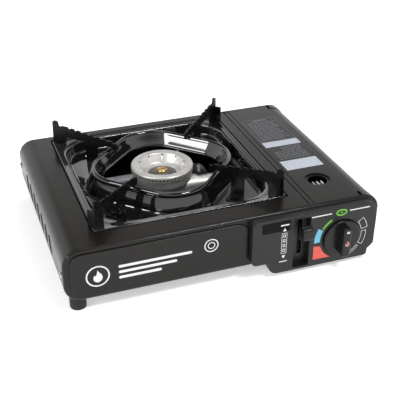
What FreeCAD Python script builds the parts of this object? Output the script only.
import FreeCAD, Part
import math
import os

import Sketcher

# A flat single-burner cassette stove. Millimetres, +Z up, X along the front from left to right,
# Y from front to back. Z = 0 is the ground under the feet.

doc = FreeCAD.newDocument("camping_stove")

# ---------------------------------------------------------------- driving dimensions

DIMENSIONS = [
    # the case
    ("case_length", 343.0), ("case_depth", 256.0), ("deck_height", 73.4), ("case_base", 15.0),
    ("edge_radius", 18.0), ("sheet", 1.0), ("end_depth", 4.0), ("end_round", 2.5), ("seam", 0.3),
    ("lip_depth", 7.0), ("lip_gap", 0.05), ("field_height", 1.8), ("field_round", 0.8), ("deck_fold", 7.0),
    ("floor_gap", 0.05), ("vent_width", 3.5), ("vent_count", 7.0), ("vent_pitch", 22.5), ("vent_rise", 32.0),
    # the fuel cover and its hinge
    ("lid_width", 80.5), ("lid_gap", 1.0), ("lid_step", 0.6), ("lid_rim", 5.0), ("hinge_height", 44.0),
    ("hinge_inset", 2.6), ("crease_inset", 3.5), ("wall_drop", 3.6), ("lid_hem", 2.2), ("lid_end", 13.0),
    ("hole_radius", 10.7),
    ("dish_radius", 14.0), ("dish_depth", 1.6), ("hole_from_front", 51.0), ("hinge_pin_radius", 1.0),
    ("bracket_sheet", 1.2),
    # the drip pan
    ("pan_left_margin", 37.0), ("pan_strip", 13.0), ("pan_front_margin", 27.0), ("pan_rear_margin", 11.5),
    ("pan_sheet", 0.8), ("pan_flange", 9.0), ("pan_depth", 14.0), ("pan_clearance", 0.5),
    ("well_radius", 37.0), ("wall_slope", 4.0), ("ridge_apothem", 69.0), ("ridge_height", 9.6),
    ("ridge_slope", 7.0), ("ridge_width", 2.4), ("ridge_radius", 42.0), ("ridge_drop", 15.0),
    ("throat_slope", 6.0), ("opening_apothem", 58.0), ("seat_width", 6.0), ("rivet_hole", 1.7),
    # the pan supports
    ("support_sheet", 2.0), ("support_reach", 145.0), ("support_rise", 29.1), ("bar_rise", 23.6),
    ("nose_reach", 58.0), ("leg_inset", 27.0), ("foot_width", 15.0), ("tooth", 2.4), ("tooth_count", 8.0),
    ("rivet_side", 9.0), ("rivet_inset", 7.0),
    # the burner
    ("burner_radius", 35.0), ("burner_rise", 4.6), ("band_height", 7.0), ("cone_radius", 28.0),
    ("cone_depth", 10.0), ("body_radius", 31.0), ("burner_wall", 2.5), ("tube_radius", 8.5),
    ("tube_height", 45.0), ("slot_count", 52.0), ("hole_count", 10.0),
    ("shield_side_margin", 27.75), ("shield_end_margin", 20.75),
    # the cartridge bay
    ("bay_side_gap", 14.1), ("bay_clearance", 3.8), ("bay_radius", 33.6), ("tub_sheet", 0.8),
    ("tub_drop", 8.2), ("tub_end_gap", 3.5), ("bulkhead_from_front", 42.0), ("inlet_radius", 5.5),
    ("inlet_depth", 8.0), ("lift_spring_length", 70.0), ("lift_spring_from_end", 60.5),
    # the control panel
    ("panel_width", 143.0), ("panel_inset", 7.5), ("panel_drop", 2.4), ("panel_bottom", 4.5),
    ("panel_proud", 10.0), ("panel_wall", 2.0), ("panel_step", 19.0), ("channel_width", 18.5),
    ("channel_gap", 2.6), ("channel_depth", 8.5), ("slot_width", 5.0),
    # the dial and the regulator behind it
    ("dial_height", 35.0), ("dial_radius", 21.0), ("dial_gap", 0.9), ("skirt_proud", 3.0),
    ("grip_height", 11.0), ("grip_width", 9.0), ("stem_radius", 3.0), ("running_gap", 0.06),
    ("regulator_radius", 18.0), ("regulator_screw_inset", 2.1),
    # the lock lever and the slider
    ("lever_sheet", 3.0), ("lever_height", 33.0), ("lever_setback", 10.0), ("lever_offset", 1.25),
    ("lever_pin_radius", 2.0), ("drive_radius", 9.0), ("slider_offset", 8.6), ("slider_gap", 2.6),
    ("slider_sheet", 1.8), ("slider_height", 14.0), ("slider_travel", 8.5), ("guide_pin_inset", 46.0),
    # feet and screws
    ("foot_radius", 8.5), ("foot_inset", 14.5), ("foot_from_end", 13.0), ("screw_radius", 1.5),
    ("screw_head", 3.2),
]

sheet = doc.addObject("Spreadsheet::Sheet", "dims")
for row, (alias, number) in enumerate(DIMENSIONS, start=2):
    sheet.set(f"A{row}", alias)
    sheet.set(f"B{row}", str(number))
    sheet.setAlias(f"B{row}", alias)
doc.recompute()


class Size:
    """A length that carries both its spreadsheet expression and its present value."""

    def __init__(self, text, value):
        self.text = text
        self.value = value

    def __add__(self, other):
        other = size(other)
        return Size(f"({self.text} + {other.text})", self.value + other.value)

    def __sub__(self, other):
        other = size(other)
        return Size(f"({self.text} - {other.text})", self.value - other.value)

    def __mul__(self, other):
        other = size(other)
        return Size(f"({self.text} * {other.text})", self.value * other.value)

    def __truediv__(self, other):
        other = size(other)
        return Size(f"({self.text} / {other.text})", self.value / other.value)

    def __neg__(self):
        return Size(f"(0 - {self.text})", -self.value)

    def __radd__(self, other):
        return size(other) + self

    def __rsub__(self, other):
        return size(other) - self

    def __rmul__(self, other):
        return size(other) * self


def size(number):
    """A plain number as a Size; a Size stays as it is."""
    if isinstance(number, Size):
        return number
    return Size(f"({number:.6f})", float(number))


D = {alias: Size(f"dims.{alias}", number) for alias, number in DIMENSIONS}

# ---------------------------------------------------------------- places that follow from the sizes

half_length = D["case_length"] / 2
half_depth = D["case_depth"] / 2
top = D["deck_height"]
base = D["case_base"]
wall = D["sheet"]
shell_end = half_depth - D["end_depth"]

lid_left = half_length - D["lid_width"]
deck_right = lid_left - D["lid_gap"]
lid_half = shell_end - D["seam"]
lid_wrap_half = half_depth - D["lid_end"]
hinge_x = half_length - D["hinge_inset"]
hinge_z = D["hinge_height"]
wall_top = hinge_z - D["wall_drop"]
notch_x = half_length - D["edge_radius"] - D["crease_inset"]

pan_left = D["pan_left_margin"] - half_length
pan_right = deck_right - D["pan_strip"]
pan_front = D["pan_front_margin"] - half_depth
pan_rear = half_depth - D["pan_rear_margin"]
pan_x = (pan_left + pan_right) / 2
pan_y = (pan_front + pan_rear) / 2

bay_reach = D["bay_radius"] + D["tub_sheet"]
bay_x = half_length - D["bay_side_gap"] - bay_reach
bay_z = D["bay_clearance"] + bay_reach
bulkhead_y = D["bulkhead_from_front"] - half_depth
tub_rear = shell_end - D["tub_end_gap"]
tub_top = top - D["tub_drop"]

panel_back = -half_depth
panel_face = panel_back - D["panel_proud"]
panel_right = half_length - D["panel_inset"]
panel_left = panel_right - D["panel_width"]
panel_top = top - D["panel_drop"]
channel_right = bay_x - bay_reach - D["channel_gap"]
channel_left = channel_right - D["channel_width"]
dial_x = bay_x
dial_z = D["dial_height"]
grip_front = panel_face - D["skirt_proud"] - D["grip_height"]
channel_floor = panel_face + D["channel_depth"]

lever_x = (channel_left + channel_right) / 2 + D["lever_offset"]
lever_y = D["lever_setback"] - half_depth
lever_z = D["lever_height"]
slider_x = lever_x + D["slider_offset"]
partition_x = slider_x - D["slider_sheet"] / 2 - D["slider_gap"]

crest = top + D["burner_rise"]
inner_leg = D["nose_reach"] + D["leg_inset"]
rivet_reach = inner_leg + D["rivet_inset"]

# The frame's origin lies under the middle of the overall depth, which runs from the dial's grip to the
# rear plate, so every piece is moved back by half of what the grip stands out.
frame_shift = (-grip_front - half_depth) / 2

ELECTRODE_ANGLE = 45.0
DIAL_TURN = 140.0
CAM_REACH = 27.0
SQUARE = math.sqrt(0.5)
OCTAGON = math.tan(math.radians(22.5))

# ---------------------------------------------------------------- sketch outlines


def value_pair(point):
    return size(point[0]).value, size(point[1]).value


def draw_outline(sketch, corners):
    """Adds one closed outline through corners (x, y) or (x, y, radius), each bound to its sizes."""
    corners = [tuple(c) + (0,) * (3 - len(c)) for c in corners]
    count = len(corners)
    entries, exits, centres, turns = [], [], [], []
    for i, (cx, cy, radius) in enumerate(corners):
        x, y = value_pair((cx, cy))
        px, py = value_pair(corners[i - 1])
        nx, ny = value_pair(corners[(i + 1) % count])
        back = FreeCAD.Vector(px - x, py - y, 0).normalize()
        ahead = FreeCAD.Vector(nx - x, ny - y, 0).normalize()
        here = FreeCAD.Vector(x, y, 0)
        r = size(radius).value
        if r > 0:
            half = back.getAngle(ahead) / 2
            entries.append(here + back * (r / math.tan(half)))
            exits.append(here + ahead * (r / math.tan(half)))
            centres.append(here + (back + ahead).normalize() * (r / math.sin(half)))
        else:
            entries.append(here)
            exits.append(here)
            centres.append(here)
        turns.append(ahead.cross(back).z > 0)

    lines = []
    for i in range(count):
        lines.append(sketch.addGeometry(Part.LineSegment(exits[i], entries[(i + 1) % count])))
    rules = []
    bound = []

    def rule(*arguments, expression=None):
        rules.append(Sketcher.Constraint(*arguments))
        bound.append(expression)

    for i, (cx, cy, radius) in enumerate(corners):
        before, after = lines[i - 1], lines[i]
        cx, cy, radius = size(cx), size(cy), size(radius)
        if radius.value > 0:
            circle = Part.Circle(centres[i], FreeCAD.Vector(0, 0, 1), radius.value)
            start, end = (entries[i], exits[i]) if turns[i] else (exits[i], entries[i])
            arc = Part.ArcOfCircle(circle, circle.parameter(start), circle.parameter(end))
            arc_id = sketch.addGeometry(arc)
            corner_id = sketch.addGeometry(Part.Point(FreeCAD.Vector(cx.value, cy.value, 0)), True)
            rule("Tangent", before, 2, arc_id, 1 if turns[i] else 2)
            rule("Tangent", after, 1, arc_id, 2 if turns[i] else 1)
            rule("Radius", arc_id, radius.value, expression=radius)
            rule("PointOnObject", corner_id, 1, before)
            rule("PointOnObject", corner_id, 1, after)
            anchor = (corner_id, 1)
        else:
            rule("Coincident", before, 2, after, 1)
            anchor = (after, 1)
        rule("DistanceX", -1, 1, anchor[0], anchor[1], cx.value, expression=cx)
        rule("DistanceY", -1, 1, anchor[0], anchor[1], cy.value, expression=cy)
    first = sketch.ConstraintCount
    sketch.addConstraint(rules)
    for number, expression in enumerate(bound, start=first):
        if expression is not None and "dims" in expression.text:
            sketch.setExpression(f"Constraints[{number}]", expression.text)


def draw_circle(sketch, x, y, radius):
    """Adds a circle bound to its sizes."""
    x, y, radius = size(x), size(y), size(radius)
    centre = FreeCAD.Vector(x.value, y.value, 0)
    circle = sketch.addGeometry(Part.Circle(centre, FreeCAD.Vector(0, 0, 1), radius.value))
    first = sketch.ConstraintCount
    sketch.addConstraint([
        Sketcher.Constraint("DistanceX", -1, 1, circle, 3, x.value),
        Sketcher.Constraint("DistanceY", -1, 1, circle, 3, y.value),
        Sketcher.Constraint("Radius", circle, radius.value),
    ])
    for number, expression in enumerate((x, y, radius), start=first):
        if "dims" in expression.text:
            sketch.setExpression(f"Constraints[{number}]", expression.text)


def box(x0, x1, y0, y1, radius=0):
    """A rectangle's corners, rounded if a radius is given."""
    return [(x0, y0, radius), (x1, y0, radius), (x1, y1, radius), (x0, y1, radius)]


def ring(x, y, radius):
    """A circle, in the form that Piece.add and Piece.cut take beside outlines."""
    return ("circle", x, y, radius)


def diamond(apothem, radius):
    """A square stood on its corner, centred on the sketch's origin."""
    reach = size(apothem) / SQUARE
    return [(reach, 0, radius), (0, reach, radius), (-reach, 0, radius), (0, -reach, radius)]


# ---------------------------------------------------------------- sub-parts

pieces = []


def settle(thing, x, y, z, turn=None):
    """Places a sub-part: its own origin at x, y, z of the case, turned if asked."""
    place = (size(x), size(y) + frame_shift, size(z))
    rotation = turn or FreeCAD.Rotation()
    thing.Placement = FreeCAD.Placement(FreeCAD.Vector(*[p.value for p in place]), rotation)
    for axis, length in zip("xyz", place):
        if "dims" in length.text:
            thing.setExpression(f"Placement.Base.{axis}", length.text)
    pieces.append(thing)


class Piece:
    """One sub-part: a PartDesign body with its sketches on its own origin planes.

    Its own axes lie along the case's. Pads and pockets are given by the plane of the sketch and by
    the lowest and highest place along the axis that stands on that plane.
    """

    def __init__(self, name, x=0, y=0, z=0, turn=None):
        self.name = name
        self.body = doc.addObject("PartDesign::Body", name)
        self.body.Label = name
        settle(self.body, x, y, z, turn)

    def plane(self, role):
        return [f for f in self.body.Origin.OriginFeatures if f.Role == role][0]

    def sketch(self, plane, place, outlines):
        sketch = self.body.newObject("Sketcher::SketchObject", f"{self.name}_sketch")
        sketch.AttachmentSupport = (self.plane(f"{plane}_Plane"), [""])
        sketch.MapMode = "FlatFace"
        offset = -size(place) if plane == "XZ" else size(place)
        sketch.AttachmentOffset = FreeCAD.Placement(FreeCAD.Vector(0, 0, offset.value), FreeCAD.Rotation())
        if "dims" in offset.text:
            sketch.setExpression("AttachmentOffset.Base.z", offset.text)
        for outline in outlines:
            if outline[0] == "circle":
                draw_circle(sketch, *outline[1:])
            else:
                draw_outline(sketch, outline)
        sketch.Visibility = False
        return sketch

    def extrude(self, kind, sketch, length):
        feature = self.body.newObject(f"PartDesign::{kind}", f"{self.name}_{kind.lower()}")
        feature.Profile = sketch
        feature.Length = length.value
        if "dims" in length.text:
            feature.setExpression("Length", length.text)
        doc.recompute()
        return feature

    def add(self, plane, low, high, *outlines):
        """Pads the outlines from low to high along the axis across the plane."""
        start = high if plane == "XZ" else low
        return self.extrude("Pad", self.sketch(plane, start, outlines), size(high) - low)

    def cut(self, plane, low, high, *outlines):
        """Pockets the outlines from low to high along the axis across the plane."""
        before = self.body.Shape.Volume
        start = low if plane == "XZ" else high
        feature = self.extrude("Pocket", self.sketch(plane, start, outlines), size(high) - low)
        if self.body.Shape.Volume >= before:
            raise RuntimeError(f"a pocket in {self.name} cuts nothing")
        return feature

    def loft(self, kind, *sections):
        """A straight loft through (height, outline) sections; kind is Additive or Subtractive."""
        sketches = [self.sketch("XY", height, [outline]) for height, outline in sections]
        feature = self.body.newObject(f"PartDesign::{kind}Loft", f"{self.name}_loft")
        feature.Profile = sketches[0]
        feature.Sections = sketches[1:]
        feature.Ruled = True
        doc.recompute()
        return feature

    def spin(self, plane, axis, outline):
        """Turns the outline once round the sketch's H_Axis or V_Axis."""
        sketch = self.sketch(plane, 0, [outline])
        feature = self.body.newObject("PartDesign::Revolution", f"{self.name}_revolution")
        feature.Profile = sketch
        feature.ReferenceAxis = (sketch, [axis])
        feature.Angle = 360
        doc.recompute()
        return feature

    def repeat(self, feature, count, role="Z_Axis"):
        """Repeats a feature evenly round one of the body's own axes."""
        pattern = self.body.newObject("PartDesign::PolarPattern", f"{self.name}_pattern")
        pattern.Originals = [feature]
        pattern.Axis = (self.plane(role), [""])
        pattern.Angle = 360
        pattern.Occurrences = int(count.value)
        pattern.setExpression("Occurrences", count.text)
        self.body.Tip = pattern
        doc.recompute()

    def round(self, radius, chosen):
        """Fillets the edges that chosen(edge) picks from the shape so far."""
        radius = size(radius)
        before = self.body.Tip
        names = [f"Edge{i}" for i, edge in enumerate(before.Shape.Edges, start=1) if chosen(edge)]
        if not names:
            raise RuntimeError(f"a fillet in {self.name} finds no edge")
        fillet = self.body.newObject("PartDesign::Fillet", f"{self.name}_fillet")
        fillet.Base = (before, names)
        fillet.Radius = radius.value
        if "dims" in radius.text:
            fillet.setExpression("Radius", radius.text)
        doc.recompute()


def flat_at(axis, place, slack=0.01):
    """Picks edges that lie wholly at one place along an axis."""
    index = "XYZ".index(axis)
    place = size(place).value

    def chosen(edge):
        limits = edge.BoundBox
        low = (limits.XMin, limits.YMin, limits.ZMin)[index]
        high = (limits.XMax, limits.YMax, limits.ZMax)[index]
        return abs(low - place) < slack and abs(high - place) < slack

    return chosen


def case_outline(inset):
    """The case's rounded outline seen from the front, moved inwards by an inset."""
    radius = D["edge_radius"] - inset
    left, right = inset - half_length, half_length - inset
    return box(left, right, base + inset, top - inset, radius)


def tube_solid(points, radii, radius):
    """A round tube along straight runs joined by tangent arcs, from plain numbers."""
    points = [FreeCAD.Vector(*p) for p in points]
    edges = []
    start = points[0]
    for corner, ahead, bend in zip(points[1:], points[2:], radii):
        into = (corner - start).normalize()
        out = (ahead - corner).normalize()
        half = into.getAngle(out) / 2
        reach = bend * math.tan(half)
        entry, leave = corner - into * reach, corner + out * reach
        middle = corner + (out - into).normalize() * (bend / math.cos(half) - bend)
        edges.append(Part.LineSegment(start, entry).toShape())
        edges.append(Part.Arc(entry, middle, leave).toShape())
        start = leave
    edges.append(Part.LineSegment(start, points[-1]).toShape())
    path = Part.Wire(edges)
    direction = points[1] - points[0]
    profile = Part.Wire([Part.Circle(points[0], direction, radius).toShape()])
    return path.makePipeShell([profile], True, True), path.Length


def largest_radii(points):
    """Each corner's arc radius: 0.45 of the shorter run beside it over the tangent of half the turn."""
    points = [FreeCAD.Vector(*p) for p in points]
    radii = []
    for before, corner, after in zip(points, points[1:], points[2:]):
        turn = (corner - before).getAngle(after - corner)
        run = min((corner - before).Length, (after - corner).Length)
        radii.append(0.45 * run / math.tan(turn / 2))
    return radii


def tube(name, points, radius):
    """A tube node along a hand-chosen route."""
    route = [tuple(size(c).value for c in point) for point in points]
    radii = largest_radii(route)
    solid, length = tube_solid(route, radii, radius)
    print(name, "radii", [round(r, 1) for r in radii], "length", round(length, 1))
    expected = math.pi * radius * radius * length
    if abs(solid.Volume - expected) > 0.02 * expected:
        raise RuntimeError(f"{name} has the wrong volume")
    feature = doc.addObject("Part::Feature", name)
    feature.Label = name
    feature.Shape = solid
    settle(feature, 0, 0, 0)


def cylinder(name, x, y, z, radius, length, axis="Z"):
    """A Part cylinder that starts at x, y, z and runs along +X, +Y or +Z."""
    turns = {
        "X": FreeCAD.Rotation(FreeCAD.Vector(0, 1, 0), 90),
        "Y": FreeCAD.Rotation(FreeCAD.Vector(1, 0, 0), -90),
        "Z": FreeCAD.Rotation(),
    }
    thing = doc.addObject("Part::Cylinder", name)
    thing.Label = name
    for prop, length_size in (("Radius", size(radius)), ("Height", size(length))):
        setattr(thing, prop, length_size.value)
        if "dims" in length_size.text:
            thing.setExpression(prop, length_size.text)
    place = (size(x), size(y), size(z))
    thing.Placement = FreeCAD.Placement(FreeCAD.Vector(*[p.value for p in place]), turns[axis])
    for letter, length_size in zip("xyz", place):
        if "dims" in length_size.text:
            thing.setExpression(f"Placement.Base.{letter}", length_size.text)
    return thing


def group(name, members):
    """One node of identical fasteners, as a compound of separate solids."""
    thing = doc.addObject("Part::Compound", name)
    thing.Label = name
    thing.Links = members
    settle(thing, 0, 0, 0)


def fuse(name, first, second):
    """Joins two Part solids into one."""
    thing = doc.addObject("Part::Fuse", name)
    thing.Base = first
    thing.Tool = second
    return thing


def screw(name, x, y, z, axis, sign, head, shank, shank_length, head_height=1.2):
    """A screw whose head starts at x, y, z and stands out along sign times the axis."""
    place = {"X": size(x), "Y": size(y), "Z": size(z)}
    head_place = dict(place)
    shank_place = dict(place)
    if sign > 0:
        shank_place[axis] = place[axis] - shank_length
    else:
        head_place[axis] = place[axis] - head_height
    head_solid = cylinder(f"{name}_head", *head_place.values(), head, head_height, axis)
    shank_solid = cylinder(f"{name}_shank", *shank_place.values(), shank, shank_length, axis)
    return fuse(name, head_solid, shank_solid)


# ---------------------------------------------------------------- the case

side_screw_y = shell_end - 3.5
left_screw_z = hinge_z + 1.0
right_screw_z = base + 20.0


def make_case_shell():
    shell = Piece("case_shell")
    outer, inner = D["edge_radius"], D["edge_radius"] - wall
    left, right = -half_length, half_length
    fold = top - D["deck_fold"]
    shell.add("XZ", -shell_end, shell_end, [
        (deck_right, top, 1.5), (left, top, outer), (left, base, outer), (right, base, outer),
        (right, wall_top), (right - wall, wall_top), (right - wall, base + wall, inner),
        (left + wall, base + wall, inner), (left + wall, top - wall, inner),
        (deck_right - wall, top - wall), (deck_right - wall, fold), (deck_right, fold),
    ])
    # the fixed corners at both ends of the fuel cover's hinge edge
    corner_left = notch_x + 2.4
    for low, high in ((-shell_end, -lid_wrap_half - 0.5), (lid_wrap_half + 0.5, shell_end)):
        shell.add("XZ", low, high, [
            (right, wall_top - 0.5), (right, top, outer), (corner_left, top),
            (corner_left, top - wall), (right - wall, top - wall, inner), (right - wall, wall_top - 0.5),
        ])
    # the recess for the drip pan and the ledge that its flange rests on
    gap = D["pan_clearance"]
    recess = box(pan_left - gap, pan_right + gap, pan_front - gap, pan_rear + gap, 4.0)
    shell.cut("XY", top - wall - 0.5, top + 1.0, recess)
    seat = top - D["pan_sheet"] - 0.1
    reach, edge = gap + 1.0, D["seat_width"]
    ledge = box(pan_left - reach, pan_right + reach, pan_front - reach, pan_rear + reach, 5.0)
    opening = box(pan_left + edge, pan_right - edge, pan_front + edge, pan_rear - edge, 8.0)
    shell.add("XY", seat - wall, seat, ledge, opening)
    # the opening in the floor through which the cartridge trough hangs
    half_gap = bay_reach * OCTAGON + base + wall - bay_z + bay_reach + 0.5
    shell.cut("XY", base - 1.0, base + 2.0,
              box(bay_x - half_gap, bay_x + half_gap, bulkhead_y - 1.0, tub_rear + 0.5))
    # vents in the left wall
    vents = []
    for step in range(int(D["vent_count"].value)):
        y = (step - (D["vent_count"].value - 1) / 2) * D["vent_pitch"] + 2.5
        half = D["vent_width"] / 2
        vents.append(box(y - half, y + half, base + 16.0, base + 42.0, half - 0.05))
    shell.cut("YZ", -half_length - 1.0, wall + 1.0 - half_length, *vents)
    hole = D["screw_radius"] + 0.05
    for y in (-side_screw_y, side_screw_y):
        shell.cut("YZ", -half_length - 1.0, wall + 1.0 - half_length, ring(y, left_screw_z, hole))
        shell.cut("YZ", half_length - wall - 1.0, half_length + 1.0, ring(y, right_screw_z, hole))


def make_end_plate(name, side):
    """The front (side -1) or rear (side 1) plate: a shallow pressed cap with a lip inside the shell."""
    plate = Piece(name)
    outside, inside = half_depth * side, (shell_end + D["seam"]) * side
    low, high = (outside, inside) if side < 0 else (inside, outside)
    plate.add("XZ", low, high, case_outline(size(0)))
    plate.round(D["end_round"], flat_at("Y", outside))
    lip_out, lip_in = wall + D["lip_gap"], wall * 2 + D["lip_gap"]
    back = (shell_end - D["lip_depth"]) * side
    # the lip runs inside the shell, so it starts inside the cap's own skin
    if side < 0:
        plate.cut("XZ", outside + wall, inside + 1.0, case_outline(wall))
        plate.add("XZ", outside + wall / 2, back, case_outline(lip_out), case_outline(lip_in))
    else:
        plate.cut("XZ", inside - 1.0, outside - wall, case_outline(wall))
        plate.add("XZ", back, outside - wall / 2, case_outline(lip_out), case_outline(lip_in))
    # no lip under the pan's ledge and the fuel cover, beside the hinge, or where the bay comes through
    lip_low, lip_high = (shell_end * side, back + 1.0) if side < 0 else (back - 1.0, shell_end * side)
    bay_right = bay_x + D["bay_radius"] + 6.0
    plate.cut("XZ", lip_low, lip_high, box(pan_left - 4.0, bay_right, base + 3.0, top + 1.0))
    plate.cut("XZ", lip_low, lip_high, box(bay_right - 1.0, half_length + 1.0, base + 24.0, top + 1.0))
    plate.cut("XZ", lip_low, lip_high, box(partition_x - 14.0, bay_right - 8.0, base + 0.5, base + 4.0))
    hole = D["screw_radius"] + 0.05
    y = side_screw_y * side
    plate.cut("YZ", -half_length, wall * 3 - half_length, ring(y, left_screw_z, hole))
    plate.cut("YZ", half_length - wall * 3, half_length, ring(y, right_screw_z, hole))
    return plate


def make_front_plate():
    plate = make_end_plate("front_plate", -1)
    face = -half_depth
    field_left, field_right = 6.5 - half_length, panel_left - 0.5
    field = box(field_left, field_right, base + 3.0, top - 4.5, 12.0)
    inner = box(field_left + wall, field_right - wall, base + 3.0 + wall, top - 4.5 - wall, 11.0)
    front = face - D["field_height"]
    plate.add("XZ", front, face + 0.5, field)
    plate.round(D["field_round"], flat_at("Y", front))
    plate.cut("XZ", front + wall, face + wall + 0.5, inner)
    # the opening behind the control panel
    window = box(channel_left - 1.5, dial_x + 34.0, base + 4.0, top - 9.0, 3.0)
    plate.cut("XZ", face - 0.5, face + wall + 0.5, window)
    plate.cut("XZ", face - 0.5, face + wall + 0.5, *[ring(x, z, 1.3) for x, z in panel_screw_places()])


def make_rear_plate():
    plate = make_end_plate("rear_plate", 1)
    face = half_depth
    inset = half_length - 14.0
    field = box(-inset, inset, base + 8.0, top - 8.0, 10.0)
    hollow = box(-inset + wall, inset - wall, base + 8.0 + wall, top - 8.0 - wall, 9.0)
    plate.add("XZ", face - wall * 2.2, face - wall / 2, field)
    plate.cut("XZ", face - wall * 1.2, face + 0.5, hollow)
    vents = []
    half = D["vent_width"] / 2
    for step in range(-4, 5):
        x = pan_x + step * 16.0
        vents.append(box(x - half, x + half, base + D["vent_rise"], top - 13.0, half - 0.05))
    plate.cut("XZ", face - wall * 2.2 - 0.5, face + 0.5, *vents)


def panel_screw_places():
    """The four screws that hold the control panel to the front plate, as (x, z)."""
    left, right = panel_left + 7.0, panel_right - 5.0
    return [(left, base + 12.0), (left, top - 10.0), (right, base + 22.0), (right, top - 16.0)]


def make_case_screws():
    members = []
    for side, z in ((-1, left_screw_z), (1, right_screw_z)):
        for end in (-1, 1):
            name = f"side_screw_{side}_{end}".replace("-1", "low").replace("1", "high")
            members.append(screw(name, half_length * side, side_screw_y * end, z, "X", side,
                                 D["screw_head"], D["screw_radius"], 5.0))
    group("case_screws", members)


def make_feet():
    """Four feet, each trimmed on top to the case's floor and its rounded edge."""
    foot_x = half_length - D["foot_inset"]
    foot_y = half_depth - D["foot_from_end"]
    for end, side_y in (("front", -1), ("rear", 1)):
        for side, side_x in (("left", -1), ("right", 1)):
            foot = Piece(f"foot_{end}_{side}", foot_x * side_x, foot_y * side_y)
            foot.add("XY", 0, base + 6.0, ring(0, 0, D["foot_radius"]))
            foot.round(1.5, flat_at("Z", 0))
            shift = foot_x * side_x
            outline = [(x - shift, z, r) for x, z, r in case_outline(size(-0.02))]
            foot.cut("XZ", -D["foot_radius"] - 1.0, D["foot_radius"] + 1.0, outline)


def igniter_place():
    """The piezo igniter's axis, at the end of the cam's swing, as (x, z)."""
    angle = math.radians(DIAL_TURN)
    return dial_x + CAM_REACH * math.cos(angle), dial_z + CAM_REACH * math.sin(angle)


def make_partition():
    """The upright sheet between burner and cartridge."""
    partition = Piece("partition_wall")
    left, right = partition_x - wall, partition_x
    floor = base + wall + D["floor_gap"]
    partition.add("XZ", bulkhead_y + wall + 0.1, tub_rear, [
        (left, floor), (left, top - wall - 1.0), (right, top - wall - 1.0), (right, floor + wall),
        (right + 2.5, floor + wall), (right + 2.5, floor),
    ])
    holes = []
    for step in range(6):
        y = tub_rear - 80.5 + 12.0 * step
        holes.append(box(y - 2.0, y + 2.0, base + 14.0, base + 22.0, 1.9))
    partition.cut("YZ", left - 0.5, right + 0.5, *holes)


def make_heat_shield():
    """The bright plate on the floor under the burner, with turned-up edges."""
    shield = Piece("heat_shield", pan_x, pan_y)
    low = base + wall + D["floor_gap"]
    half_x = (pan_right - pan_left) / 2 - D["shield_side_margin"]
    half_y = (pan_rear - pan_front) / 2 - D["shield_end_margin"]
    skin = D["pan_sheet"]
    shield.add("XY", low, low + 6.0, box(-half_x, half_x, -half_y, half_y, 10.0))
    inner_x, inner_y = half_x - skin, half_y - skin
    shield.cut("XY", low + skin, low + 7.0, box(-inner_x, inner_x, -inner_y, inner_y, 10.0 - skin))


# ---------------------------------------------------------------- the cartridge bay


def make_bay():
    tub = Piece("cartridge_trough")
    inside, outside = D["bay_radius"], bay_reach
    kin, kout = inside * OCTAGON, outside * OCTAGON
    bend, bend_in = size(14.0), 14.0 - D["tub_sheet"]
    crown = tub_top
    front, rear = bulkhead_y + wall, tub_rear
    tub.add("XZ", front, rear, [
        (bay_x - outside, crown), (bay_x - outside, bay_z - kout, bend),
        (bay_x - kout, bay_z - outside, bend),
        (bay_x + kout, bay_z - outside, bend), (bay_x + outside, bay_z - kout, bend),
        (bay_x + outside, crown), (bay_x + inside, crown), (bay_x + inside, bay_z - kin, bend_in),
        (bay_x + kin, bay_z - inside, bend_in), (bay_x - kin, bay_z - inside, bend_in),
        (bay_x - inside, bay_z - kin, bend_in), (bay_x - inside, crown),
    ])
    # the end wall at the rear, and the window in the left wall for the slider's pusher
    tub.add("XZ", rear - D["tub_sheet"], rear, [
        (bay_x - outside, crown), (bay_x - outside, bay_z - kout, bend),
        (bay_x - kout, bay_z - outside, bend),
        (bay_x + kout, bay_z - outside, bend), (bay_x + outside, bay_z - kout, bend),
        (bay_x + outside, crown),
    ])
    tub.cut("YZ", bay_x - outside - 0.5, bay_x - inside + 0.5,
            box(rear - 17.0, rear - D["tub_sheet"], lever_z - 3.5, lever_z + 17.5))

    bulkhead = Piece("bulkhead")
    floor = base + wall + D["floor_gap"]
    bulkhead.add("XZ", bulkhead_y, bulkhead_y + wall - 0.05, [
        (partition_x + 0.1, floor), (bay_x + outside, floor, 4.0),
        (bay_x + outside, crown), (partition_x + 0.1, crown),
    ], ring(bay_x, bay_z, 14.0))
    window = box(slider_x - 2.0, slider_x + 2.0, lever_z - 1.5, lever_z + 17.5, 1.0)
    bulkhead.cut("XZ", bulkhead_y - 0.5, bulkhead_y + wall + 0.5, window)

    # leaf spring on the trough's floor, which lifts the cartridge against the cover
    spring = Piece("cartridge_spring")
    low = bay_z - inside + D["floor_gap"]
    end = tub_rear - D["lift_spring_from_end"]
    start = end - D["lift_spring_length"]
    middle = (start + end) / 2
    spring.add("YZ", bay_x - 6.0, bay_x + 6.0, [
        (start, low), (start, low + 0.5), (middle - 20.0, low + 0.5, 20), (middle, low + 2.4, 30),
        (middle + 20.0, low + 0.5, 20), (end, low + 0.5), (end, low), (middle + 20.0, low, 20.5),
        (middle, low + 1.9, 29.5), (middle - 20.0, low, 20.5),
    ])


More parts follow.
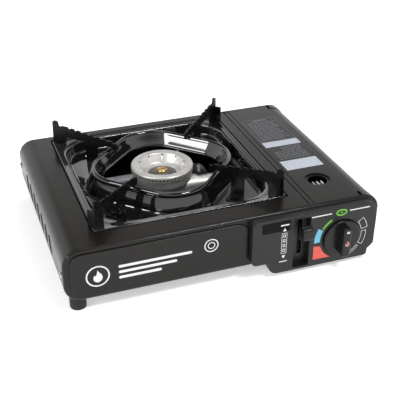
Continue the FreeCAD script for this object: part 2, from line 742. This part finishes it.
def make_regulator():
    body = Piece("regulator_body", dial_x, bulkhead_y, dial_z)
    radius = D["regulator_radius"]
    chamber = radius - 4.0
    # local y runs back from the bulkhead
    body.spin("YZ", "H_Axis", [
        (-31.0, radius), (-31.0, chamber), (-12.0, chamber), (-12.0, 0), (-6.0, 0), (-6.0, radius),
    ])
    rise = bay_z - dial_z
    body.add("XZ", -8.0, 8.0, ring(0, rise, 13.0))
    body.cut("XZ", 8.0 - D["inlet_depth"], 9.0, ring(0, rise, D["inlet_radius"]))
    body.add("YZ", -20.0, -10.0, ring(-9.0, -8.0, 4.0))

    seal = Piece("inlet_seal", bay_x, bulkhead_y, bay_z)
    seal.add("XZ", 8.02, 9.6, ring(0, 0, 9.0), ring(0, 0, D["inlet_radius"]))

    cover = Piece("regulator_cover", dial_x, bulkhead_y, dial_z)
    cover.add("XZ", -34.0, -31.02, ring(0, 0, radius), ring(0, 0, D["stem_radius"] + D["running_gap"]))
    screw_ring = radius - D["regulator_screw_inset"]
    holes = cover.cut("XZ", -35.0, -30.0, ring(screw_ring, 0, 1.25))
    cover.repeat(holes, size(3), "Y_Axis")
    screws = []
    for step in range(3):
        angle = math.radians(120.0 * step)
        x = dial_x + screw_ring * math.cos(angle)
        z = dial_z + screw_ring * math.sin(angle)
        screws.append(screw(f"regulator_screw_{step + 1}", x, bulkhead_y - 34.0, z, "Y", -1, 2.0, 1.2, 2.9))
    group("regulator_screws", screws)

    diaphragm = Piece("regulator_diaphragm", dial_x, bulkhead_y, dial_z)
    diaphragm.spin("YZ", "H_Axis", [
        (-22.0, 0), (-22.0, 6.0), (-20.6, 9.0), (-20.6, 10.0), (-22.0, chamber - 0.1), (-20.8, chamber - 0.1),
        (-19.6, 10.6), (-19.6, 8.4), (-20.9, 5.6), (-20.9, 0),
    ])
    coil = Part.makeHelix(1.4, 5.6, 5.0)
    section = Part.Wire([Part.Circle(FreeCAD.Vector(5.0, 0, 0), FreeCAD.Vector(0, 1, 0), 0.45).toShape()])
    spring = doc.addObject("Part::Feature", "regulator_spring")
    spring.Label = "regulator_spring"
    spring.Shape = Part.Wire(coil.Edges).makePipeShell([section], True, True)
    settle(spring, dial_x, bulkhead_y - 22.6, dial_z, FreeCAD.Rotation(FreeCAD.Vector(1, 0, 0), 90))

    guide = Piece("notch_guide", bay_x, bulkhead_y, bay_z)
    guide.add("XZ", wall + 0.05, wall + 1.05, box(-11.0, 11.0, 13.6, 26.0, 2.0))
    for x in (-5.5, 4.5):
        guide.add("YZ", x, x + 1.0, box(wall + 0.5, 12.0, 16.0, 26.0, 1.5))


def make_slider():
    """The bar that pulls the cartridge on to the regulator, with its pusher at the rear."""
    bar = Piece("cartridge_slider")
    left, right = slider_x - D["slider_sheet"] / 2, slider_x + D["slider_sheet"] / 2
    front, rear = lever_y + 1.5, tub_rear - 2.2
    low, high = lever_z, lever_z + D["slider_height"]
    bar.add("YZ", left, right, box(front, rear, low, high, 2.0))
    bar.add("XZ", rear - D["slider_sheet"], rear, box(left, bay_x + 8.0, low, high, 1.0))
    drive_y = lever_y + D["drive_radius"] * math.cos(math.radians(30.0))
    slots = [box(drive_y - 2.2, drive_y + 2.2, low + 1.6, high - 2.0, 2.1)]
    for y in slider_pins():
        slots.append(box(y - 2.4, y + 2.4 + D["slider_travel"], low + 4.5, low + 9.5, 2.4))
    bar.cut("YZ", left - 0.5, right + 0.5, *slots)

    members = []
    for step, y in enumerate(slider_pins(), start=1):
        members.append(screw(f"guide_pin_{step}", right + 0.4, y, lever_z + 7.0, "X", 1, 3.2, 2.0,
                             D["slider_sheet"] + 3.0, 0.6))
    group("slider_guide_pins", members)


def slider_pins():
    """The two guide pins' places along Y."""
    return (bulkhead_y + D["guide_pin_inset"], tub_rear - D["guide_pin_inset"] - 4.5)


# ---------------------------------------------------------------- burner


def make_burner():
    ring_piece = Piece("burner_ring", pan_x, pan_y, 0)
    outer = D["burner_radius"]
    inner, cone_out = D["body_radius"] + 0.1, D["cone_radius"]
    band = crest - D["band_height"]
    ring_piece.spin("XZ", "V_Axis", [
        (cone_out, crest), (cone_out, crest - 2.0), (outer - 2.4, crest - 2.0), (outer - 2.4, band - 2.0),
        (inner, band - 2.0), (inner, band - 9.0), (inner + 2.2, band - 9.0), (inner + 2.2, band - 1.0),
        (outer, band, 0.8), (outer, crest, 2.2),
    ])
    slot = ring_piece.cut("YZ", outer - 3.4, outer + 1.0, box(-1.15, 1.15, crest - 6.0, crest - 3.3, 1.0))
    ring_piece.repeat(slot, D["slot_count"])

    cone = Piece("burner_cone", pan_x, pan_y, 0)
    foot = crest - D["cone_depth"]
    flat = cone_out / 2
    cone.spin("XZ", "V_Axis", [
        (4.2, foot - 1.0), (4.2, foot), (flat, foot, 3), (cone_out - 0.1, crest - 0.4),
        (cone_out - 0.1, crest - 2.1),
        (cone_out + 1.0, crest - 2.1), (cone_out + 1.0, crest - 3.0), (cone_out - 1.2, crest - 3.0),
        (flat, foot - 1.2, 3),
    ])
    hole = cone.cut("XY", foot - 2.0, crest + 1.0, ring(cone_out * 0.76, 0, 0.9))
    cone.repeat(hole, D["hole_count"])

    centre = Piece("burner_screw", pan_x, pan_y, 0)
    centre.add("XY", foot - 12.0, foot + 0.1, ring(0, 0, 4.1))
    centre.add("XY", foot + 0.1, foot + 3.0, ring(0, 0, 6.0))
    centre.round(1.2, flat_at("Z", foot + 3.0))
    centre.cut("XY", foot + 1.6, foot + 4.0, box(-7.0, 7.0, -0.8, 0.8))

    bowl = Piece("burner_body", pan_x, pan_y, 0)
    rim, thick = band - 2.05, D["burner_wall"]
    radius = D["body_radius"]
    bottom = D["tube_height"] - 10.0
    bowl.spin("XZ", "V_Axis", [
        (0, bottom), (radius - 6.0, bottom, 6.0), (radius - 3.5, bottom + 16.0, 12.0),
        (radius, rim - 9.0, 6.0),
        (radius, rim), (radius - thick, rim), (radius - thick, rim - 8.0, 4.0),
        (radius - 3.5 - thick, bottom + 17.0, 10.0), (radius - 8.5, bottom + thick, 4.0), (0, bottom + thick),
    ])
    bowl.add("YZ", radius - 7.0, radius + 10.0, ring(0, D["tube_height"], D["tube_radius"] + 2.6))
    bowl.cut("YZ", radius - 9.0, radius + 11.0, ring(0, D["tube_height"], D["tube_radius"] + 0.05))

    mixer = Piece("mixing_tube", 0, pan_y, D["tube_height"])
    start = pan_x + radius - 4.0
    mouth = partition_x - wall - 16.0
    tube_r = D["tube_radius"]
    mixer.spin("XZ", "H_Axis", [
        (start, tube_r - 1.2), (start, tube_r), (mouth - 8.0, tube_r, 6), (mouth, tube_r + 2.5),
        (mouth, tube_r + 1.3), (mouth - 7.6, tube_r - 1.2, 5),
    ])

    jet = Piece("gas_jet", 0, pan_y, D["tube_height"])
    back = partition_x - wall - 0.05
    jet.spin("XZ", "H_Axis", [
        (back, 0), (back, 5.5), (back - 8.0, 5.5), (back - 9.0, 3.2), (back - 17.0, 2.2), (back - 17.0, 0),
    ])
    jet.cut("YZ", back - 18.0, back - 6.0, ring(0, 0, 0.5))

    bracket = Piece("burner_bracket", pan_x, pan_y)
    low = base + wall + D["floor_gap"] + D["pan_sheet"] + 0.05
    high = bottom - 0.05
    bracket.add("XZ", -12.0, 12.0, [
        (-42.0, low), (-42.0, low + 1.5), (-24.0, low + 1.5, 1.5), (-20.0, high, 3.0), (20.0, high, 3.0),
        (24.0, low + 1.5, 1.5), (42.0, low + 1.5), (42.0, low), (22.8, low, 3.0), (18.8, high - 1.5, 1.5),
        (-18.8, high - 1.5, 1.5), (-22.8, low, 3.0),
    ])


def make_electrode():
    """The spark electrode beside the burner ring, its insulator and its clip."""
    angle = math.radians(ELECTRODE_ANGLE)
    reach = D["burner_radius"] + 7.5
    x, y = pan_x + reach * math.cos(angle), pan_y + reach * math.sin(angle)
    foot = D["tube_height"] - 7.0
    insulator = Piece("electrode_insulator", x, y, foot)
    insulator.spin("XZ", "V_Axis", [
        (1.0, 0), (3.0, 0), (3.0, 12.0), (3.8, 12.5), (3.8, 15.0), (3.0, 15.5), (3.0, 26.0),
        (2.0, 28.0), (1.0, 28.0),
    ])
    turn = FreeCAD.Rotation(FreeCAD.Vector(0, 0, 1), ELECTRODE_ANGLE)
    clip = Piece("electrode_clip", pan_x, pan_y, foot, turn)
    clip.add("XY", 16.0, 17.2, box(D["body_radius"] + 0.2, reach + 6.0, -6.0, 6.0, 1.5), ring(reach, 0, 3.1))
    clip.add("YZ", D["body_radius"] + 0.2, D["body_radius"] + 1.4, box(-6.0, 6.0, 8.0, 17.2, 0.5))
    tip = 10.6 + 28.0
    route = [(x, y, foot - 2.0), (x, y, foot + tip - 5.0),
             (x - 4.0 * math.cos(angle), y - 4.0 * math.sin(angle), foot + tip - 1.0)]
    route = [tuple(size(c).value for c in point) for point in route]
    solid, _ = tube_solid(route, [3.0], 0.95)
    rod = doc.addObject("Part::Feature", "igniter_electrode")
    rod.Label = "igniter_electrode"
    rod.Shape = solid
    settle(rod, 0, 0, 0)
    return x, y, foot - 2.0


def make_leads(electrode):
    x, y, foot = electrode
    piezo_x, piezo_z = igniter_place()
    sx, sy, sz = piezo_x - 5.65, bulkhead_y - 7.0, piezo_z - 1.0
    # the copper pipe from the regulator's side port to the jet
    jet_x = partition_x - wall - 4.5
    port_y, port_z = bulkhead_y - 9.0, dial_z - 8.0
    tube("gas_pipe", [
        (dial_x - 20.05, port_y, port_z), (dial_x - 33.0, port_y, port_z),
        (jet_x + 0.5, port_y + 9.0, port_z - 0.5),
        (jet_x, port_y + 34.0, port_z + 1.0), (jet_x, port_y + 62.0, port_z + 9.0),
        (jet_x, pan_y - 20.0, D["tube_height"]), (jet_x, pan_y - 5.55, D["tube_height"]),
    ], 1.6)
    # the ignition lead from the piezo to the electrode, low under the mixing tube
    tube("ignition_lead", [
        (sx, sy, sz), (sx - 9.0, sy, sz), (sx - 19.0, sy + 3.0, sz - 1.0), (sx - 28.0, sy + 12.0, sz - 12.0),
        (sx - 38.0, sy + 28.0, sz - 22.0), (sx - 52.0, sy + 50.0, sz - 26.0),
        (x + 24.0, y - 48.0, base + 10.5),
        (x + 9.0, y - 22.0, base + 9.0), (x + 2.0, y - 6.0, base + 10.5), (x, y, foot - 0.9),
    ], 1.5)


# ---------------------------------------------------------------- drip pan and pan supports


def make_drip_pan():
    pan = Piece("drip_pan", pan_x, pan_y)
    half_x, half_y = (pan_right - pan_left) / 2, (pan_rear - pan_front) / 2
    skin = D["pan_sheet"]
    floor = top - D["pan_depth"]
    ridge = top + D["ridge_height"]
    shelf = ridge - D["ridge_drop"]

    def well(inset, radius):
        return box(inset - half_x, half_x - inset, inset - half_y, half_y - inset, radius)

    # flange, then the well pressed down from it
    pan.add("XY", top - skin, top, well(size(0), 3.5))
    rim, foot = D["pan_flange"], D["pan_flange"] + D["wall_slope"]
    pan.loft("Additive", (floor - skin, well(foot - skin, D["well_radius"] - 3.0)),
             (top - skin, well(rim - skin, D["well_radius"])))
    pan.loft("Subtractive", (floor, well(foot, D["well_radius"] - 3.5)),
             (top + 0.2, well(rim, D["well_radius"] - 0.5)))
    # the raised ring round the burner, hollow underneath
    foot_reach = D["ridge_apothem"] + D["ridge_slope"]
    crest_in = D["ridge_apothem"] - D["ridge_width"]
    shelf_in = crest_in - D["throat_slope"]
    pan.loft("Additive", (floor - skin / 2, diamond(foot_reach, D["ridge_radius"] + 2.0)),
             (ridge, diamond(D["ridge_apothem"], D["ridge_radius"])))
    pan.loft("Subtractive", (floor - skin - 0.2, diamond(foot_reach - skin, D["ridge_radius"] + 1.0)),
             (ridge - skin, diamond(D["ridge_apothem"] - skin, D["ridge_radius"] - 1.0)))
    pan.loft("Additive", (shelf - skin, diamond(shelf_in + skin, D["ridge_radius"] - 3.0)),
             (ridge - skin / 2, diamond(crest_in + skin, D["ridge_radius"] - 1.6)))
    pan.loft("Subtractive", (shelf, diamond(shelf_in, D["ridge_radius"] - 4.0)),
             (ridge + 0.2, diamond(crest_in, D["ridge_radius"] - 2.4)))
    pan.cut("XY", shelf - skin - 0.5, shelf + 0.5, diamond(D["opening_apothem"], D["ridge_radius"] - 8.0))
    # holes for the rivets of the four supports
    rivets = [ring(x, y, D["rivet_hole"]) for x, y in rivet_places()]
    pan.cut("XY", floor - skin - 0.5, floor + 0.5, *rivets)


SUPPORTS = (("front_right", -45.0), ("rear_right", 45.0), ("rear_left", 135.0), ("front_left", 225.0))


def rivet_places():
    """The rivets beside the supports' inner legs, from the pan's middle."""
    places = []
    for _, degrees in SUPPORTS:
        angle = math.radians(degrees)
        x = rivet_reach * math.cos(angle) + D["rivet_side"] * math.sin(angle)
        y = rivet_reach * math.sin(angle) - D["rivet_side"] * math.cos(angle)
        places.append((x, y))
    return places


def make_supports():
    """Four upright pan supports: an outer leg on the flange, a toothed bar and an inner leg."""
    half = D["support_sheet"] / 2
    floor = top - D["pan_depth"] + 0.03
    reach, bar = D["support_reach"], top + D["bar_rise"]
    tip = top + D["support_rise"]
    shoulder, nose = reach - 13.0, D["nose_reach"]
    inner_end = inner_leg + D["foot_width"]
    outer_leg = reach - 17.0
    under = top + D["ridge_height"] + 1.0
    hook = D["ridge_apothem"] - 4.6
    flange = top + 0.03
    pitch = (shoulder - nose - 6.0) / D["tooth_count"]
    for label, degrees in SUPPORTS:
        turn = FreeCAD.Rotation(FreeCAD.Vector(0, 0, 1), degrees)
        support = Piece(f"pan_support_{label}", pan_x, pan_y, 0, turn)
        teeth = []
        for step in range(int(D["tooth_count"].value)):
            place = nose + 5.0 + step * pitch
            rise = bar - 6.5 + step * 0.85
            teeth += [(place, rise - D["tooth"] * 0.6), (place + 1.4, rise + D["tooth"] * 0.4),
                      (place + pitch * 0.65, rise + D["tooth"] * 0.4)]
        support.add("XZ", -half, half, [
            (hook + 0.8, under, 1.0), (hook, under - 2.2, 0.8), (nose, under - 2.2, 1.2),
            (nose, bar - 7.0, 2.0), *teeth,
            (shoulder, bar + 0.4, 1.0), (reach - 9.0, bar - 1.6, 1.6), (reach - 7.5, tip, 2.4),
            (reach - 1.0, tip, 2.6), (reach, flange), (outer_leg, flange),
            (outer_leg, under, 5.0), (inner_end, under, 3.0), (inner_end, floor), (inner_leg, floor),
            (inner_leg, under, 9.0),
        ])
        # the outer leg's folded edge and the inner leg's foot with its rivet hole
        support.add("XY", flange, bar - 6.0, box(reach - 3.0 - half * 2, reach - 2.2, -9.0, half, 0.8))
        support.add("XY", floor, floor + 1.5, box(inner_leg, inner_end, -16.0, half, 2.0))
        support.cut("XY", floor - 0.5, floor + 2.0, ring(rivet_reach, -D["rivet_side"], D["rivet_hole"]))
    members = []
    for step, (x, y) in enumerate(rivet_places(), start=1):
        members.append(screw(f"pan_rivet_{step}", pan_x + x, pan_y + y, floor + 1.52, "Z", 1,
                             4.2, D["rivet_hole"] - 0.1, 3.6, 1.6))
    group("pan_rivets", members)


# ---------------------------------------------------------------- fuel cover


def make_lid():
    lid = Piece("lid")
    step = D["lid_step"]
    hem = hinge_z - D["lid_hem"]
    right = half_length - step
    rim = lid_left + D["lid_rim"]
    under = top - wall
    radius = D["edge_radius"] - step
    lid.add("XZ", -lid_half, lid_half, [
        (lid_left, top - step), (lid_left, top - step - 7.0), (lid_left + wall, top - step - 7.0),
        (lid_left + wall, under - step), (rim + 0.4, under - step), (rim + 1.4, under),
        (notch_x - 1.4, under),
        (notch_x - 0.4, under - step), (right - wall, under - step, radius - wall), (right - wall, hem),
        (right, hem), (right, top - step, radius), (notch_x, top - step), (notch_x - 1.0, top),
        (rim + 1.0, top), (rim, top - step),
    ])
    for low, high in ((-lid_half - 1.0, -lid_wrap_half), (lid_wrap_half, lid_half + 1.0)):
        lid.cut("XY", hem - 1.0, top + 1.0, box(notch_x, half_length + 1.0, low, high))
    # the dished finger hole
    hole_y = D["hole_from_front"] - half_depth
    dish, deep = D["dish_radius"], D["dish_depth"]
    lid.cut("XY", under - 0.5, top + 0.5, ring(dial_x, hole_y, dish))
    lid.add("XY", top - deep - wall, top - wall / 2, ring(dial_x, hole_y, dish + wall),
            ring(dial_x, hole_y, dish))
    lid.add("XY", top - deep - wall, top - deep, ring(dial_x, hole_y, dish + wall / 2),
            ring(dial_x, hole_y, D["hole_radius"]))
    # hinge ears at both ends
    pin = D["hinge_pin_radius"]
    for low in (-lid_wrap_half + 1.0, lid_wrap_half - 2.0):
        lid.add("XZ", low, low + 1.0, [
            (hinge_x - 2.9, hinge_z - 2.9, 2.7), (hinge_x + 1.2, hinge_z - 2.2, 0.5),
            (hinge_x + 1.2, hinge_z + 9.0),
            (hinge_x - 2.9, hinge_z + 7.0, 1.0),
        ])
        lid.cut("XZ", low - 0.2, low + 1.2, ring(hinge_x, hinge_z, pin + D["running_gap"]))

    for label, side in (("front", -1), ("rear", 1)):
        half = D["bracket_sheet"] / 2
        bracket = Piece(f"hinge_bracket_{label}", hinge_x, (lid_wrap_half + half + 0.3) * side, hinge_z)
        edge = D["hinge_inset"] - wall - D["floor_gap"]
        bracket.add("XZ", -half, half, [
            (-4.0, -12.0, 1.0), (edge, -12.0), (edge, 3.0, 1.0), (-4.0, 3.0, 2.0),
        ], ring(0, 0, pin + 0.01))
        pin_piece = cylinder(f"hinge_pin_{label}", 0, 0, 0, pin, 6.6, "Y")
        start = lid_wrap_half - 3.0 if side > 0 else -lid_wrap_half - 3.6
        turn = FreeCAD.Rotation(FreeCAD.Vector(1, 0, 0), -90)
        settle(pin_piece, hinge_x, start, hinge_z, turn)


# ---------------------------------------------------------------- control panel, dial, lever


def panel_outline(inset):
    """The control panel's outline seen from the front, moved inwards by an inset."""
    left, right = panel_left + inset, panel_right - inset
    high, low, step = panel_top - inset, D["panel_bottom"] + inset, D["panel_step"] + inset
    return [
        (left, high, 5.0 - inset), (left, step, 6.0 - inset), (panel_left + 20.0 + inset, step, 3.0 + inset),
        (panel_left + 20.0 + inset, low, 10.0 - inset), (panel_right - 7.0 - inset, low, 4.0 - inset),
        (panel_right - 7.0 - inset, low + 8.0, 2.0 + inset), (right, low + 14.0, 4.0 - inset),
        (right, high, 13.0 - inset),
    ]


def make_control_panel():
    panel = Piece("control_panel")
    skin = D["panel_wall"]
    back, face = panel_back - 0.05, panel_face
    panel.add("XZ", face, back, panel_outline(size(0)))
    panel.round(1.4, flat_at("Y", face))
    panel.cut("XZ", face + skin, back + 0.5, panel_outline(skin))
    # the lever's channel, walled inside, with its slot
    left, right = channel_left, channel_right
    low, high = D["panel_bottom"] + 3.5, panel_top - 3.6
    rib = 1.5
    panel.add("XZ", face + 0.5, back, box(left - rib, right + rib, low - rib, high + rib, 2.5))
    panel.cut("XZ", face - 0.5, channel_floor, box(left, right, low, high, 2.0))
    slot = D["slot_width"] / 2
    panel.cut("XZ", face - 0.5, back + 0.5, box(lever_x - slot, lever_x + slot, base + 4.0, high - 5.0, 2.0))
    # the dial's well and the hole for the valve stem
    well = D["dial_radius"] + D["dial_gap"]
    panel.add("XZ", face + 0.5, face + 5.0, ring(dial_x, dial_z, well + 2.0))
    panel.cut("XZ", face - 0.5, face + 3.0, ring(dial_x, dial_z, well))
    panel.cut("XZ", face - 0.5, back + 0.5, ring(dial_x, dial_z, D["stem_radius"] + 1.2))
    # bosses for the screws from behind
    for x, z in panel_screw_places():
        panel.add("XZ", face + 1.0, back, ring(x, z, 3.2))
        panel.cut("XZ", back - 6.0, back + 0.5, ring(x, z, 1.05))
    members = []
    for step, (x, z) in enumerate(panel_screw_places(), start=1):
        members.append(screw(f"panel_screw_{step}", x, panel_back + wall + D["floor_gap"], z, "Y", 1,
                             2.6, 1.0, 6.0, 1.4))
    group("panel_screws", members)


def make_dial():
    knob = Piece("control_knob", dial_x, panel_face, dial_z)
    radius = D["dial_radius"]
    proud = D["skirt_proud"]
    front = -proud - D["grip_height"]
    knob.add("XZ", -proud, 2.6, ring(0, 0, radius))
    knob.round(1.6, flat_at("Y", -proud))
    grip = D["grip_width"] / 2
    span = radius - 0.8
    knob.add("XZ", front, -proud + 1.0, [
        (-grip, 3.0 - span, 2.5), (grip, 3.0 - span, 2.5), (grip, span - 3.0, 2.5), (-grip, span - 3.0, 2.5),
    ])
    knob.round(1.8, flat_at("Y", front))
    knob.cut("XZ", -8.0, 3.0, ring(0, 0, D["stem_radius"] + 0.03))

    stem = Piece("valve_stem", dial_x, panel_face, dial_z)
    stem.add("XZ", -7.9, 20.6, ring(0, 0, D["stem_radius"]))

    # the cam on the stem: an arm that swings in front of the igniter's plunger
    cam = Piece("igniter_cam", dial_x, -half_depth, dial_z)
    cam.add("XZ", 2.2, 5.4, [
        (-6.0, -5.0, 3.0), (6.0, -5.0, 3.0), (CAM_REACH + 3.0, -4.0, 3.5), (CAM_REACH + 3.0, 4.0, 3.5),
        (6.0, 6.5, 3.0), (-6.0, 6.5, 3.0),
    ])
    cam.add("XZ", 5.2, 9.2, ring(CAM_REACH, 0, 2.6))
    cam.cut("XZ", 1.0, 10.0, ring(0, 0, D["stem_radius"] + 0.02))


def make_igniter():
    x, z = igniter_place()
    piezo = Piece("piezo_igniter", x, -half_depth, z)
    piezo.add("XZ", 14.4, 40.0, box(-5.5, 5.5, -5.5, 5.5, 1.5))
    piezo.add("XZ", 12.4, 14.5, ring(0, 0, 4.6))
    piezo.cut("XZ", 12.0, 26.0, ring(0, 0, 2.55))
    plunger = Piece("igniter_plunger", x, -half_depth, z)
    plunger.add("XZ", 6.3, 20.0, ring(0, 0, 2.5))
    plunger.round(0.8, flat_at("Y", 6.3))


def make_lever():
    pivot_y, pivot_z = lever_y, lever_z
    low, high = lever_x - D["lever_sheet"] / 2, lever_x + D["lever_sheet"] / 2
    pin = D["lever_pin_radius"]
    lever = Piece("lock_lever", 0, pivot_y, pivot_z)
    lever.add("YZ", low, high, ring(0, 0, 6.0))
    lever.add("YZ", low, high, arm_outline(0.0))
    drive_angle = math.radians(30.0)
    drive_y = D["drive_radius"] * math.cos(drive_angle)
    drive_z = D["drive_radius"] * math.sin(drive_angle)
    lever.add("YZ", low, high, ring(drive_y, drive_z, 4.0))
    lever.add("YZ", high - 0.5, slider_x + 1.4, ring(drive_y, drive_z, 1.2))
    lever.cut("YZ", low - 0.5, high + 0.5, ring(0, 0, pin + D["running_gap"]))

    knob = Piece("lever_knob", 0, pivot_y, pivot_z)
    knob.add("YZ", lever_x - 6.0, lever_x + 6.0, [
        (-33.0, 13.0, 3.0), (-23.0, 15.5, 3.0), (-23.0, 29.5, 3.0), (-33.0, 27.0, 3.0),
    ])
    knob.round(1.6, lambda edge: flat_at("X", lever_x - 6.0)(edge) or flat_at("X", lever_x + 6.0)(edge))
    knob.cut("YZ", low - 0.04, high + 0.04, arm_outline(0.04))

    pin_piece = cylinder("lever_pin", 0, 0, 0, pin, 12.6, "X")
    settle(pin_piece, lever_x - 6.3, pivot_y, pivot_z, FreeCAD.Rotation(FreeCAD.Vector(0, 1, 0), 90))

    bracket = Piece("lever_bracket", 0, pivot_y, 0)
    floor = base + wall + D["floor_gap"]
    for left in (lever_x - 5.6, lever_x + 4.1):
        bracket.add("YZ", left, left + 1.5, [
            (-5.0, floor), (5.0, floor), (5.0, pivot_z + 5.0, 3.0), (-5.0, pivot_z + 5.0, 3.0),
        ])
        if left.value < lever_x.value:
            bracket.add("XY", floor, floor + 1.5, box(lever_x - 5.6, lever_x + 5.6, -5.0, 5.0))
    bracket.cut("YZ", lever_x - 6.0, lever_x + 6.0, ring(0, pivot_z, pin + 0.01))


def arm_outline(extra):
    """The lever's arm from its hub to its knob, in the lever's own plane."""
    return [
        (2.0 - extra, -5.2 - extra), (4.0 + extra, 4.2 + extra, 1.0), (-26.0, 25.6 + extra, 1.0),
        (-30.0 - extra, 22.0, 1.0), (-26.5, 17.2 - extra, 1.0), (-3.5, -4.6 - extra),
    ]


# ---------------------------------------------------------------- build, check and write

make_case_shell()
make_front_plate()
make_rear_plate()
make_case_screws()
make_feet()
make_partition()
make_heat_shield()
make_bay()
make_regulator()
make_slider()
make_burner()
make_leads(make_electrode())
make_drip_pan()
make_supports()
make_lid()
make_control_panel()
make_dial()
make_igniter()
make_lever()
doc.recompute()

for thing in doc.Objects:
    if "Invalid" in thing.State or "Error" in thing.State:
        raise RuntimeError(f"{thing.Name} failed: {thing.State}")
os.makedirs("parts", exist_ok=True)
for thing in pieces:
    if thing.Shape.isNull() or not thing.Shape.isValid():
        raise RuntimeError(f"{thing.Label} has no valid shape")
    thing.Shape.exportStep(f"parts/{thing.Label}.step")
print(len(pieces), "nodes")
